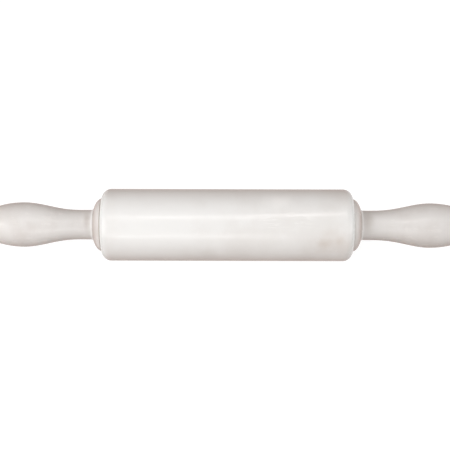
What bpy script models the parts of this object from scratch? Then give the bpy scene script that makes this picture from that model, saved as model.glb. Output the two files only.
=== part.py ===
"""Plastic rolling pin: a hollow roller that turns on a steel rod held by two moulded handles.

The long axis is X and up is Z. The origin is the middle of the roller, on its axis.
"""

import math

import bmesh
import bpy
from mathutils import Matrix, Vector

# Fits
SEAT_GAP = 0.0003
RUNNING_CLEARANCE = 0.0003

# Roller tube
ROLLER_LENGTH = 0.250
ROLLER_DIAMETER = 0.072
ROLLER_WALL = 0.0045
SHOULDER_RADIUS = 0.0092
TUBE_END_LAND = 0.0022
BORE_LEAD_IN = 0.0008

# End caps
CAP_FACE_THICKNESS = 0.0035
CAP_SKIRT_LENGTH = 0.018
CAP_SKIRT_WALL = 0.0025
CAP_HUB_WALL = 0.0030
CAP_HUB_LENGTH = 0.021
CAP_RIB_COUNT = 8
CAP_RIB_THICKNESS = 0.0024
CAP_HUB_STEP = 0.0005
CAP_POCKET_CORNER = 0.0015

# Bushes
BUSH_WALL = 0.0027
BUSH_LENGTH = 0.018
BUSH_FLANGE_WIDTH = 0.0030
BUSH_FLANGE_THICKNESS = 0.0020
BUSH_CHAMFER = 0.0005

# Steel rod
ROD_DIAMETER = 0.010
ROD_END_DIAMETER = 0.008
ROD_END_CHAMFER = 0.0008
ROD_BEYOND_NUT = 0.0025

# Thrust washers
THRUST_WASHER_WIDTH = 0.0058
THRUST_WASHER_THICKNESS = 0.0015

# Handles, with lengths counted from the face of the collar
SEAM_GAP = 0.0004
COLLAR_INSET = 0.0003
COLLAR_DOME_DEPTH = 0.0104
COLLAR_EDGE_BEVEL = 0.0004
COLLAR_FILLET = 0.0020
COLLAR_WALL = 0.0024
COLLAR_HUB_WALL = 0.0026
NECK_DIAMETER = 0.0296
NECK_LENGTH = 0.0190
SWELL_DIAMETER = 0.0446
SWELL_CENTRE = 0.0780
SWELL_DELAY = 1.2
HANDLE_LENGTH = 0.1240
HANDLE_CORE_DIAMETER = 0.0240
HANDLE_CORE_FLOOR = 0.0350
HANDLE_CORE_CHAMFER = 0.0006

# End plugs
PLUG_LAND = 0.0030
PLUG_SPIGOT_LENGTH = 0.0080
PLUG_WALL = 0.0025

# Flat washers and lock nuts
FLAT_WASHER_WIDTH = 0.0038
FLAT_WASHER_THICKNESS = 0.0016
NUT_SIDES = 6
NUT_ACROSS_FLATS = 0.013
NUT_HEX_HEIGHT = 0.0065
NUT_COLLAR_HEIGHT = 0.0016
NUT_COLLAR_WALL = 0.0016
NUT_CHAMFER_DEPTH = 0.0008

# Number of flats round each turned shape
ROLLER_SIDES = 32
HANDLE_SIDES = 36
SMALL_SIDES = 24

# Number of steps along each curve of a profile
SHOULDER_STEPS = 6
CAP_SHOULDER_STEPS = 5
DOME_STEPS = 6
COLLAR_INSIDE_STEPS = 4
SWELL_STEPS = 9
HANDLE_END_STEPS = 6
PLUG_STEPS = 5
PLUG_INSIDE_STEPS = 3
POCKET_INNER_STEPS = 3
POCKET_OUTER_STEPS = 4

ROUNDING_STEPS = 2

CUT_OVERSHOOT = 0.003
MERGE_DISTANCE = 1e-6
SMOOTH_ANGLE = math.radians(32)
POCKET_CORNER_ANGLE = math.radians(50)

# Sizes that follow from the ones above
roller_radius = ROLLER_DIAMETER / 2
half_roller = ROLLER_LENGTH / 2
tube_bore = roller_radius - ROLLER_WALL
shoulder_centre_x = half_roller - SHOULDER_RADIUS
shoulder_centre_r = roller_radius - SHOULDER_RADIUS
tube_end_r = tube_bore + TUBE_END_LAND
tube_end_angle = math.acos((tube_end_r - shoulder_centre_r) / SHOULDER_RADIUS)
tube_end_x = shoulder_centre_x + SHOULDER_RADIUS * math.sin(tube_end_angle)

rod_radius = ROD_DIAMETER / 2
rod_end_radius = ROD_END_DIAMETER / 2
bush_bore = rod_radius + RUNNING_CLEARANCE
bush_radius = bush_bore + BUSH_WALL
bush_flange_radius = bush_radius + BUSH_FLANGE_WIDTH

cap_skirt_radius = tube_bore - SEAT_GAP
cap_hub_bore = bush_radius + SEAT_GAP
cap_hub_radius = cap_hub_bore + CAP_HUB_WALL
cap_seat_radius = bush_flange_radius + SEAT_GAP

washer_start_x = half_roller + RUNNING_CLEARANCE
washer_end_x = washer_start_x + THRUST_WASHER_THICKNESS
thrust_washer_bore = rod_radius + SEAT_GAP
thrust_washer_radius = thrust_washer_bore + THRUST_WASHER_WIDTH

collar_x = half_roller + SEAM_GAP
collar_radius = shoulder_centre_r - COLLAR_INSET
handle_seat_x = washer_end_x + SEAT_GAP
handle_pocket_radius = thrust_washer_radius + SEAT_GAP
handle_bore = rod_end_radius + SEAT_GAP
neck_radius = NECK_DIAMETER / 2
swell_radius = SWELL_DIAMETER / 2
core_radius = HANDLE_CORE_DIAMETER / 2
dome_foot_x = collar_x + COLLAR_DOME_DEPTH * math.sqrt(1 - (neck_radius / collar_radius) ** 2)
core_floor_x = collar_x + HANDLE_CORE_FLOOR
swell_x = collar_x + SWELL_CENTRE
handle_end_x = collar_x + HANDLE_LENGTH
end_curve_length = HANDLE_LENGTH - SWELL_CENTRE
plug_seat_r = core_radius + PLUG_LAND
plug_seat_angle = math.acos(plug_seat_r / swell_radius)
plug_seat_x = swell_x + end_curve_length * math.sin(plug_seat_angle)

flat_washer_x = core_floor_x + SEAT_GAP
flat_washer_bore = rod_end_radius + SEAT_GAP
flat_washer_radius = flat_washer_bore + FLAT_WASHER_WIDTH
nut_x = flat_washer_x + FLAT_WASHER_THICKNESS + SEAT_GAP
nut_bore = rod_end_radius + SEAT_GAP
nut_flat_radius = NUT_ACROSS_FLATS / 2
nut_corner_radius = nut_flat_radius / math.cos(math.pi / NUT_SIDES)
nut_collar_radius = nut_bore + NUT_COLLAR_WALL
nut_height = NUT_HEX_HEIGHT + NUT_COLLAR_HEIGHT
rod_end_x = nut_x + nut_height + ROD_BEYOND_NUT


def point(x, r):
    """A point of a turned profile: a distance along the axis and a radius."""
    return Vector((x, 0, r))


def arc(centre, along, across, start, end, steps):
    """Points on an ellipse from one angle to another, where 0 is straight out from the axis."""
    turn = (end - start) / steps
    angles = [start + turn * i for i in range(steps + 1)]
    return [
        point(centre[0] + along * math.sin(a), centre[1] + across * math.cos(a))
        for a in angles
    ]


def mirrored(points):
    """The same profile at the other end, in the order that carries the loop on."""
    return [point(-p.x, p.z) for p in reversed(points)]


def link(name, mesh_data, material):
    """Puts a finished mesh in the scene as a named object."""
    mesh = bpy.data.meshes.new(name)
    mesh_data.to_mesh(mesh)
    mesh_data.free()
    mesh.shade_smooth()
    mesh.set_sharp_from_angle(angle=SMOOTH_ANGLE)
    if material:
        mesh.materials.append(material)
    piece = bpy.data.objects.new(name, mesh)
    bpy.context.collection.objects.link(piece)
    return piece


def corner_reach(sides):
    """How much further from the axis a corner lies than the middle of a flat."""
    return 1 / math.cos(math.pi / sides)


def turned(profile, sides, closed=True):
    """Spins a profile about X.

    The middles of the flats keep the profile's radius, and one of them faces straight down.
    """
    mesh = bmesh.new()
    half_step = Matrix.Rotation(math.pi / sides, 3, "X")
    reach = corner_reach(sides)
    corners = [mesh.verts.new(half_step @ point(p.x, p.z * reach)) for p in profile]
    for a, b in zip(corners, corners[1:]):
        mesh.edges.new((a, b))
    if closed:
        mesh.edges.new((corners[-1], corners[0]))
    bmesh.ops.spin(
        mesh,
        geom=mesh.verts[:] + mesh.edges[:],
        cent=(0, 0, 0),
        axis=(1, 0, 0),
        dvec=(0, 0, 0),
        angle=math.tau,
        steps=sides,
        use_merge=True,
        use_duplicate=False,
    )
    bmesh.ops.remove_doubles(mesh, verts=mesh.verts[:], dist=MERGE_DISTANCE)
    bmesh.ops.recalc_face_normals(mesh, faces=mesh.faces[:])
    return mesh


def at_end(side, mesh):
    """Leaves a piece at the right-hand end where it is, and turns it half round Z for the left-hand end."""
    if side == "left":
        half_turn = Matrix.Rotation(math.pi, 3, "Z")
        bmesh.ops.rotate(mesh, verts=mesh.verts[:], cent=(0, 0, 0), matrix=half_turn)
    return mesh


def surface(name, colour, roughness, metallic=0.0):
    """A surface with one colour, one roughness and one metallic value."""
    material = bpy.data.materials.new(name)
    material.use_nodes = True
    shader = material.node_tree.nodes["Principled BSDF"]
    shader.inputs["Base Color"].default_value = (*colour, 1.0)
    shader.inputs["Roughness"].default_value = roughness
    shader.inputs["Metallic"].default_value = metallic
    return material


def cutter(name, mesh_data):
    """A shape that only cuts another: shown as wire and left out of the finished object."""
    piece = link(name, mesh_data, None)
    piece.display_type = "WIRE"
    piece.hide_render = True
    return piece


def combine(piece, tool, operation):
    """Cuts one piece with another, and then marks the sharp edges that the cut has made."""
    modifier = piece.modifiers.new(tool.name, "BOOLEAN")
    modifier.operation = operation
    modifier.object = tool
    modifier.solver = "EXACT"
    cut = bpy.data.meshes.new_from_object(piece.evaluated_get(bpy.context.evaluated_depsgraph_get()))
    piece.modifiers.clear()
    piece.data = cut
    cut.name = piece.name
    cut.shade_smooth()
    cut.set_sharp_from_angle(angle=SMOOTH_ANGLE)


def roller_tube_profile():
    """The tube's wall: rounded at the shoulders, with a flat land at each end for the caps."""
    shoulder = arc(
        (shoulder_centre_x, shoulder_centre_r),
        SHOULDER_RADIUS,
        SHOULDER_RADIUS,
        0,
        tube_end_angle,
        SHOULDER_STEPS,
    )
    lead_in = [
        point(tube_end_x, tube_bore + BORE_LEAD_IN),
        point(tube_end_x - BORE_LEAD_IN, tube_bore),
    ]
    one_end = shoulder + lead_in
    return one_end + mirrored(one_end)


def cap_profile():
    """A cap with a rounded rim, a skirt that plugs the tube and a hub for the bush, solid between them."""
    rim_back_x = tube_end_x + SEAT_GAP
    rim_angle = math.asin((rim_back_x - shoulder_centre_x) / SHOULDER_RADIUS)
    rim = arc(
        (shoulder_centre_x, shoulder_centre_r),
        SHOULDER_RADIUS,
        SHOULDER_RADIUS,
        rim_angle,
        math.pi / 2,
        CAP_SHOULDER_STEPS,
    )
    seat_x = half_roller - BUSH_FLANGE_THICKNESS - SEAT_GAP
    return rim + [
        point(half_roller, cap_seat_radius),
        point(seat_x, cap_seat_radius),
        point(seat_x, cap_hub_bore),
        point(half_roller - CAP_HUB_LENGTH, cap_hub_bore),
        point(half_roller - CAP_HUB_LENGTH, cap_hub_radius),
        point(half_roller - CAP_SKIRT_LENGTH, cap_hub_radius),
        point(half_roller - CAP_SKIRT_LENGTH, cap_skirt_radius - BORE_LEAD_IN),
        point(half_roller - CAP_SKIRT_LENGTH + BORE_LEAD_IN, cap_skirt_radius),
        point(rim_back_x, cap_skirt_radius),
    ]


def pocket_side(radius, middle, share, steps):
    """Points along one curved side of a pocket, which leave half a rib's thickness at each end."""
    half_rib = math.asin(CAP_RIB_THICKNESS / 2 / radius)
    start = middle - share / 2 + half_rib
    turn = (share - 2 * half_rib) / steps
    angles = [start + turn * j for j in range(steps + 1)]
    return [(radius * math.sin(a), radius * math.cos(a)) for a in angles]


def pocket_cutter(side):
    """The hollows between the cap's ribs: wedges that stop short of the hub, the skirt and the face."""
    mesh = bmesh.new()
    inner = cap_hub_radius + CAP_HUB_STEP
    outer = cap_skirt_radius - CAP_SKIRT_WALL
    front_x = half_roller - CAP_FACE_THICKNESS - BUSH_FLANGE_THICKNESS
    back_x = half_roller - CAP_SKIRT_LENGTH - CUT_OVERSHOOT
    share = math.tau / CAP_RIB_COUNT
    for i in range(CAP_RIB_COUNT):
        inner_side = pocket_side(inner, share * i, share, POCKET_INNER_STEPS)
        outer_side = pocket_side(outer, share * i, share, POCKET_OUTER_STEPS)
        outline = inner_side + list(reversed(outer_side))
        face = mesh.faces.new([mesh.verts.new((front_x, y, z)) for y, z in outline])
        made = bmesh.ops.extrude_face_region(mesh, geom=[face])
        moved = [v for v in made["geom"] if isinstance(v, bmesh.types.BMVert)]
        bmesh.ops.translate(mesh, verts=moved, vec=(back_x - front_x, 0, 0))
    bmesh.ops.recalc_face_normals(mesh, faces=mesh.faces[:])
    upright = [
        e
        for e in mesh.edges
        if abs(e.verts[0].co.x - e.verts[1].co.x) > MERGE_DISTANCE
        and e.calc_face_angle() > POCKET_CORNER_ANGLE
    ]
    bmesh.ops.bevel(
        mesh,
        geom=upright,
        offset=CAP_POCKET_CORNER,
        offset_type="OFFSET",
        segments=ROUNDING_STEPS,
        profile=0.5,
        affect="EDGES",
        material=-1,
    )
    return cutter(f"{side}_cap_pockets", at_end(side, mesh))


def bush_profile():
    """A plain bearing with a flange at its outer end."""
    outer_x = half_roller
    seat_x = outer_x - BUSH_FLANGE_THICKNESS
    inner_x = outer_x - BUSH_LENGTH
    return [
        point(outer_x, bush_bore + BUSH_CHAMFER),
        point(outer_x, bush_flange_radius - BUSH_CHAMFER),
        point(outer_x - BUSH_CHAMFER, bush_flange_radius),
        point(seat_x, bush_flange_radius),
        point(seat_x, bush_radius),
        point(inner_x + BUSH_CHAMFER, bush_radius),
        point(inner_x, bush_radius - BUSH_CHAMFER),
        point(inner_x, bush_bore),
        point(outer_x - BUSH_CHAMFER, bush_bore),
    ]


def rod_profile():
    """The rod, with a shoulder near each end that the handle is clamped against."""
    shoulder_x = handle_seat_x - SEAT_GAP
    one_end = [
        point(shoulder_x - ROD_END_CHAMFER, rod_radius),
        point(shoulder_x, rod_radius - ROD_END_CHAMFER / 2),
        point(shoulder_x, rod_end_radius),
        point(rod_end_x - ROD_END_CHAMFER, rod_end_radius),
        point(rod_end_x, rod_end_radius - ROD_END_CHAMFER),
        point(rod_end_x, 0),
    ]
    return mirrored(one_end) + one_end


def ring_profile(start_x, thickness, bore, radius):
    """A flat ring."""
    return [
        point(start_x, bore),
        point(start_x + thickness, bore),
        point(start_x + thickness, radius),
        point(start_x, radius),
    ]


def swell(distance):
    """The handle's radius between its neck and its widest place, by distance from the collar's face."""
    share = (distance - NECK_LENGTH) / (SWELL_CENTRE - NECK_LENGTH)
    rise = (1 - math.cos(math.pi * share**SWELL_DELAY)) / 2
    return neck_radius + (swell_radius - neck_radius) * rise


def handle_profile():
    """The handle: domed collar, neck, swell and rounded end outside; core, rod bore and washer seat inside.

    The collar is hollow behind its dome, with a hub in the middle that holds the seat.
    """
    dome_angle = math.asin(neck_radius / collar_radius)
    dome = arc((collar_x, 0), COLLAR_DOME_DEPTH, collar_radius, 0, math.pi / 2 - dome_angle, DOME_STEPS)
    swell_step = (SWELL_CENTRE - NECK_LENGTH) / SWELL_STEPS
    swell_distances = [NECK_LENGTH + swell_step * i for i in range(SWELL_STEPS)]
    body = [point(collar_x + d, swell(d)) for d in swell_distances]
    end = arc((swell_x, 0), end_curve_length, swell_radius, 0, plug_seat_angle, HANDLE_END_STEPS)
    core = [
        point(plug_seat_x, core_radius + HANDLE_CORE_CHAMFER),
        point(plug_seat_x - HANDLE_CORE_CHAMFER, core_radius),
        point(core_floor_x, core_radius),
        point(core_floor_x, handle_bore),
    ]
    hub_radius = handle_pocket_radius + COLLAR_HUB_WALL
    inside_depth = COLLAR_DOME_DEPTH - COLLAR_WALL
    inside_radius = collar_radius - COLLAR_WALL
    hub_angle = math.acos(hub_radius / inside_radius)
    inside = arc((collar_x, 0), inside_depth, inside_radius, hub_angle, 0, COLLAR_INSIDE_STEPS)
    seat = [
        point(handle_seat_x, handle_bore),
        point(handle_seat_x, handle_pocket_radius),
        point(collar_x, handle_pocket_radius),
        point(collar_x, hub_radius),
    ]
    return dome + body + end + core + seat + inside


def soften_handle(mesh):
    """Rounds the collar's outer edge, and fills the corner where its dome meets the neck."""
    reach = corner_reach(HANDLE_SIDES)
    places = (
        (collar_x, collar_radius * reach, COLLAR_EDGE_BEVEL),
        (dome_foot_x, neck_radius * reach, COLLAR_FILLET),
    )
    for x, r, width in places:
        ring = [
            e
            for e in mesh.edges
            if all(abs(v.co.x - x) < MERGE_DISTANCE for v in e.verts)
            and all(abs(math.hypot(v.co.y, v.co.z) - r) < MERGE_DISTANCE for v in e.verts)
        ]
        bmesh.ops.bevel(
            mesh,
            geom=ring,
            offset=width,
            offset_type="OFFSET",
            segments=ROUNDING_STEPS,
            profile=0.5,
            affect="EDGES",
            material=-1,
        )
    return mesh


def plug_profile():
    """The plug: it carries the handle's rounded end on, and its hollow spigot fills the core's mouth."""
    rim_x = plug_seat_x + SEAT_GAP
    rim_angle = math.asin((rim_x - swell_x) / end_curve_length)
    dome = arc((swell_x, 0), end_curve_length, swell_radius, rim_angle, math.pi / 2, PLUG_STEPS)
    spigot_radius = core_radius - SEAT_GAP
    spigot_inside = spigot_radius - PLUG_WALL
    spigot_end_x = plug_seat_x - PLUG_SPIGOT_LENGTH
    inside_length = end_curve_length - PLUG_WALL
    inside_width = swell_radius - PLUG_WALL
    inside_angle = math.acos(spigot_inside / inside_width)
    inside = arc((swell_x, 0), inside_length, inside_width, math.pi / 2, inside_angle, PLUG_INSIDE_STEPS)
    tip = [point(handle_end_x, 0), point(swell_x + inside_length, 0)]
    spigot = [
        point(spigot_end_x, spigot_inside),
        point(spigot_end_x, spigot_radius - HANDLE_CORE_CHAMFER),
        point(spigot_end_x + HANDLE_CORE_CHAMFER, spigot_radius),
        point(rim_x, spigot_radius),
    ]
    return dome[:-1] + tip + inside[1:] + spigot


def nut_block():
    """The nut before it is trimmed: a solid bar with six sides."""
    mesh = bmesh.new()
    bmesh.ops.create_circle(mesh, cap_ends=True, radius=nut_corner_radius, segments=NUT_SIDES)
    onto_axis = Matrix.Rotation(math.pi / 2, 3, "Y")
    bmesh.ops.rotate(mesh, verts=mesh.verts[:], cent=(0, 0, 0), matrix=onto_axis)
    made = bmesh.ops.extrude_face_region(mesh, geom=mesh.faces[:])
    moved = [v for v in made["geom"] if isinstance(v, bmesh.types.BMVert)]
    bmesh.ops.translate(mesh, verts=moved, vec=(nut_height, 0, 0))
    bmesh.ops.translate(mesh, verts=mesh.verts[:], vec=(nut_x, 0, 0))
    bmesh.ops.recalc_face_normals(mesh, faces=mesh.faces[:])
    return mesh


def nut_form_profile():
    """The turned form that trims the bar to a nut: chamfered corners, a round collar and the bore."""
    hex_end_x = nut_x + NUT_HEX_HEIGHT
    end_x = nut_x + nut_height
    collar_chamfer = NUT_CHAMFER_DEPTH / 2
    return [
        point(nut_x - SEAT_GAP, nut_bore),
        point(nut_x - SEAT_GAP, nut_flat_radius),
        point(nut_x, nut_flat_radius),
        point(nut_x + NUT_CHAMFER_DEPTH, nut_corner_radius + SEAT_GAP),
        point(hex_end_x - NUT_CHAMFER_DEPTH, nut_corner_radius + SEAT_GAP),
        point(hex_end_x, nut_flat_radius - collar_chamfer),
        point(hex_end_x, nut_collar_radius),
        point(end_x - collar_chamfer, nut_collar_radius),
        point(end_x, nut_collar_radius - collar_chamfer),
        point(end_x + SEAT_GAP, nut_collar_radius - collar_chamfer),
        point(end_x + SEAT_GAP, nut_bore),
    ]


for old in list(bpy.data.objects):
    bpy.data.objects.remove(old)

roller_white = surface("roller_white", (0.80, 0.78, 0.75), 0.28)
cap_white = surface("cap_white", (0.78, 0.76, 0.73), 0.30)
handle_white = surface("handle_white", (0.74, 0.71, 0.68), 0.32)
plug_white = surface("plug_white", (0.74, 0.71, 0.68), 0.32)
bush_acetal = surface("bush_acetal", (0.88, 0.87, 0.83), 0.45)
washer_nylon = surface("washer_nylon", (0.86, 0.84, 0.78), 0.50)
rod_steel = surface("rod_steel", (0.62, 0.62, 0.63), 0.25, 1.0)
nut_zinc = surface("nut_zinc", (0.66, 0.67, 0.68), 0.35, 1.0)

link("barrel_tube", turned(roller_tube_profile(), ROLLER_SIDES), roller_white)
link("axle_rod", turned(rod_profile(), SMALL_SIDES, closed=False), rod_steel)

thrust_ring = ring_profile(
    washer_start_x, THRUST_WASHER_THICKNESS, thrust_washer_bore, thrust_washer_radius
)
flat_ring = ring_profile(
    flat_washer_x, FLAT_WASHER_THICKNESS, flat_washer_bore, flat_washer_radius
)

for side in ("right", "left"):
    cap = link(f"{side}_end_cap", at_end(side, turned(cap_profile(), ROLLER_SIDES)), cap_white)
    combine(cap, pocket_cutter(side), "DIFFERENCE")

    link(f"{side}_bush", at_end(side, turned(bush_profile(), SMALL_SIDES)), bush_acetal)
    link(f"{side}_thrust_washer", at_end(side, turned(thrust_ring, SMALL_SIDES)), washer_nylon)

    handle = soften_handle(turned(handle_profile(), HANDLE_SIDES))
    link(f"{side}_handle", at_end(side, handle), handle_white)
    link(f"{side}_end_plug", at_end(side, turned(plug_profile(), HANDLE_SIDES)), plug_white)

    link(f"{side}_flat_washer", at_end(side, turned(flat_ring, SMALL_SIDES)), nut_zinc)
    nut = link(f"{side}_lock_nut", at_end(side, nut_block()), nut_zinc)
    nut_form = turned(nut_form_profile(), SMALL_SIDES)
    combine(nut, cutter(f"{side}_nut_form", at_end(side, nut_form)), "INTERSECT")
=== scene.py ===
import math

import bmesh
import bpy
from mathutils import Matrix, Vector, noise


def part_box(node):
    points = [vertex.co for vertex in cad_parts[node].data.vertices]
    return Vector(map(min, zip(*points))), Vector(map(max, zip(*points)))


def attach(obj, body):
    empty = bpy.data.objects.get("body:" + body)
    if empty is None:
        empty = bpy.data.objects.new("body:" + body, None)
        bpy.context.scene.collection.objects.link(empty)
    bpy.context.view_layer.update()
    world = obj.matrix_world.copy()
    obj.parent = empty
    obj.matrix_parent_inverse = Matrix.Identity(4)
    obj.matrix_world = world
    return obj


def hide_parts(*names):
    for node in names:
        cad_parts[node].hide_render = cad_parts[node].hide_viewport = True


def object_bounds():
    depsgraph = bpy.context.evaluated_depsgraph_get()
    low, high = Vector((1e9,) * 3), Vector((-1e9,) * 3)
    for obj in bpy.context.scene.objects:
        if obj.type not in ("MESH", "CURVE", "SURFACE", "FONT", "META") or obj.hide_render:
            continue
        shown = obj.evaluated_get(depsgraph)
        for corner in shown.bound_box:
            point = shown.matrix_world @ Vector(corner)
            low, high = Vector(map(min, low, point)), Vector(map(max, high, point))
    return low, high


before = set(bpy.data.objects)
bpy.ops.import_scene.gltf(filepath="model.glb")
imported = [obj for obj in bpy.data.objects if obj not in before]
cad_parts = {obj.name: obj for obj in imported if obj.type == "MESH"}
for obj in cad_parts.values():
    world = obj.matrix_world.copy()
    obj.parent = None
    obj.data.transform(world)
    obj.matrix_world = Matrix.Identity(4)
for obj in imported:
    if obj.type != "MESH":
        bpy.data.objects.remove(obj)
cad_low, cad_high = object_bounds()


# Camera
# It looks down on the pin from the front through a short telephoto lens, square to the roller's middle.
# The picture is too narrow for the whole pin, so both handles run out of it.
CAMERA_ELEVATION = math.radians(40)
CAMERA_DISTANCE = 0.975
CAMERA_LENS_MM = 77.7
SENSOR_MM = 36
CAMERA_ROLL = math.radians(0.16)
VIEW_CENTRE = Vector((-0.0021, 0, 0))

camera = bpy.data.objects.new("camera", bpy.data.cameras.new("camera"))
camera.data.lens = CAMERA_LENS_MM
camera.data.sensor_width = SENSOR_MM
to_camera = Vector((0, -math.cos(CAMERA_ELEVATION), math.sin(CAMERA_ELEVATION)))
camera.location = VIEW_CENTRE + to_camera * CAMERA_DISTANCE
facing = to_camera.to_track_quat("Z", "Y").to_matrix().to_4x4()
camera.rotation_euler = (facing @ Matrix.Rotation(CAMERA_ROLL, 4, "Z")).to_euler()
bpy.context.collection.objects.link(camera)
bpy.context.scene.camera = camera
bpy.context.scene.view_settings.view_transform = "Standard"


# Table
# A plain white table that runs out of sight on all sides. The camera and reflections see it lifted to
# white, and it keeps the pin's soft shadow.
TABLE_SIZE = 8.0
TABLE_COLOUR = (0.49, 0.48, 0.465, 1)
TABLE_GLOW = 1.60
TABLE_GLOW_SHARE = 0.58


def node(tree, kind, values=None, **settings):
    """Adds a shader node, sets its properties, and fills or links its inputs by name or number."""
    made = tree.nodes.new(kind)
    for key, value in settings.items():
        setattr(made, key, value)
    for key, value in (values or {}).items():
        if isinstance(value, bpy.types.NodeSocket):
            tree.links.new(value, made.inputs[key])
        else:
            made.inputs[key].default_value = value
    return made


def calculate(tree, operation, first, second=0.0, third=0.0):
    """Adds a Math node and gives back its output."""
    values = {0: first, 1: second, 2: third}
    return node(tree, "ShaderNodeMath", values, operation=operation).outputs[0]


def seen_directly(tree):
    """1 for the camera's rays, reflections and refractions, and 0 for the light that objects get."""
    path = node(tree, "ShaderNodeLightPath").outputs
    gloss = calculate(tree, "MAXIMUM", path["Is Glossy Ray"], path["Is Transmission Ray"])
    return calculate(tree, "MAXIMUM", path["Is Camera Ray"], gloss)


table_mesh = bmesh.new()
bmesh.ops.create_grid(table_mesh, x_segments=1, y_segments=1, size=TABLE_SIZE / 2)
bmesh.ops.translate(table_mesh, verts=table_mesh.verts[:], vec=(0, 0, cad_low.z))
table_data = bpy.data.meshes.new("table")
table_mesh.to_mesh(table_data)
table_mesh.free()
table = bpy.data.objects.new("table", table_data)
bpy.context.collection.objects.link(table)

table_white = bpy.data.materials.new("table_white")
table_white.use_nodes = True
tree = table_white.node_tree
tree.nodes.clear()
matt = node(tree, "ShaderNodeBsdfDiffuse", {"Color": TABLE_COLOUR})
glow = node(tree, "ShaderNodeEmission", {"Strength": TABLE_GLOW})
share = calculate(tree, "MULTIPLY", seen_directly(tree), TABLE_GLOW_SHARE)
surface = node(tree, "ShaderNodeMixShader", {0: share, 1: matt.outputs[0], 2: glow.outputs[0]})
node(tree, "ShaderNodeOutputMaterial", {"Surface": surface.outputs[0]})
table_data.materials.append(table_white)


# Light
# A plain white room, very faintly warm, with two long key boxes above the camera. The one towards the
# right end is turned, so that its band climbs along the roller. A low box leaves a second band, and boxes
# at both sides light the ends.
ROOM_COLOUR = (1.015, 1.0, 0.97, 1)
ROOM_STRENGTH = 0.435
SEEN_COLOUR = (1, 1, 1, 1)
LAMP_DISTANCE = 1.25

# The Mix node's sockets are given by number, because its values and its colours share their names.
FIRST_VALUE = 2
SECOND_VALUE = 3
FIRST_COLOUR = 6
SECOND_COLOUR = 7
MIXED_COLOUR = 2


def blend_colours(tree, factor, first, second):
    """Mixes two colours and gives back the result."""
    values = {"Factor": factor, FIRST_COLOUR: first, SECOND_COLOUR: second}
    return node(tree, "ShaderNodeMix", values, data_type="RGBA").outputs[MIXED_COLOUR]


room = bpy.data.worlds.new("room")
room.use_nodes = True
tree = room.node_tree
tree.nodes.clear()
direct = seen_directly(tree)
colour = blend_colours(tree, direct, ROOM_COLOUR, SEEN_COLOUR)
strengths = {"Factor": direct, FIRST_VALUE: ROOM_STRENGTH, SECOND_VALUE: 1.0}
strength = node(tree, "ShaderNodeMix", strengths).outputs[0]
background = node(tree, "ShaderNodeBackground", {"Color": colour, "Strength": strength})
node(tree, "ShaderNodeOutputWorld", {"Surface": background.outputs[0]})
bpy.context.scene.world = room


def soft_box(name, elevation, x, length, height, radiance, roll=0, faces_middle=False):
    """A flat lamp at one elevation in front of the pin. It faces the pin's axis, or the pin's middle."""
    lamp = bpy.data.lights.new(name, "AREA")
    lamp.shape = "RECTANGLE"
    lamp.size = length
    lamp.size_y = height
    lamp.energy = radiance * math.pi * length * height
    angle = math.radians(elevation)
    away = Vector((0, -math.cos(angle), math.sin(angle)))
    box = bpy.data.objects.new(name, lamp)
    box.location = Vector((x, 0, 0)) + away * LAMP_DISTANCE
    aim = box.location if faces_middle else away
    facing = aim.to_track_quat("Z", "Y").to_matrix().to_4x4()
    box.rotation_euler = (facing @ Matrix.Rotation(math.radians(roll), 4, "Z")).to_euler()
    box.visible_camera = False
    bpy.context.collection.objects.link(box)


soft_box("key_light", elevation=63, x=-0.16, length=0.50, height=0.12, radiance=8.8, roll=4)
soft_box("key_end_light", elevation=74, x=0.20, length=0.36, height=0.12, radiance=9.4, roll=46)
soft_box("fill_light", elevation=3, x=-0.10, length=0.44, height=0.12, radiance=8.6, roll=6)
soft_box("near_left_light", elevation=24, x=-0.7, length=0.30, height=0.20, radiance=9.0, faces_middle=True)
soft_box("left_light", elevation=44, x=-1.35, length=0.65, height=0.60, radiance=10.2, faces_middle=True)
soft_box("far_left_light", elevation=20, x=-2.7, length=0.80, height=0.60, radiance=8.4, faces_middle=True)
soft_box("far_right_light", elevation=10, x=2.7, length=0.80, height=0.60, radiance=8.6, faces_middle=True)
soft_box("right_light", elevation=30, x=2.7, length=0.80, height=0.60, radiance=8.3, faces_middle=True)
soft_box("high_right_light", elevation=90, x=2.7, length=0.80, height=0.60, radiance=4.6, faces_middle=True)


# Roller tube
# A tube of white plastic, turned smooth outside, with rounded shoulders. Its ends are cut square inside
# the curve of the shoulder, where the end caps carry the curve on. A die line and faint clouds run along
# it, and use has left a brown smudge, a paler patch and some scuffs. The scuffs' whiter streaks are partly
# painted glints, and painted shade darkens the front of the roller towards its right-hand end.
SHOULDER_RADIUS = 0.0092
ROLLER_WALL = 0.0045
BORE_LEAD_IN = 0.0008
ROLLER_STEPS = 192
SHOULDER_STEPS = 14
CUT_EDGE_ROUNDING = 0.00008
SAME_PLACE = 1e-6
ROUNDED_CORNER = math.radians(40)
SHADED_CORNER = math.radians(50)
ROLLER_COLOUR = (0.878, 0.911, 0.919, 1)
ROLLER_STAIN = (0.813, 0.830, 0.828, 1)
ROLLER_ROUGHNESS = 0.17
PLASTIC_SMOOTHER = 0.03
PLASTIC_ROUGHER = 0.10
PLASTIC_SPECULAR = 0.32
SKIN_TINT = (0.880, 0.838, 0.822, 1)
SKIN_IOR = 1.03
# The shoulders keep this share of the skin: painted light that lifts their shade.
SHOULDER_LIGHTENING_SKIN = 0.4
GRIME_COLOUR = (0.50, 0.42, 0.35, 1)
GRIME_REACH = 0.0008
GRIME_STRENGTH = 0.5
SKIN_GRAIN = 900.0
NOISE_MIDDLE = 0.5
SPOT_RAGGEDNESS = 0.8
DIE_LINE_ELEVATION = math.radians(25.5)
DIE_LINE_WIDTH = 0.0007
DIE_LINE_WANDER = 0.0016
DIE_LINE_DEPTH = 0.00005
# The colour of a brown smudge and of painted shade. The first two spots are the smudge, and the broad third
# spot is painted shade on the front of the roller towards its right-hand end.
SMUDGE_AND_SHADE_COLOUR = (0.52, 0.42, 0.34, 1)
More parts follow.
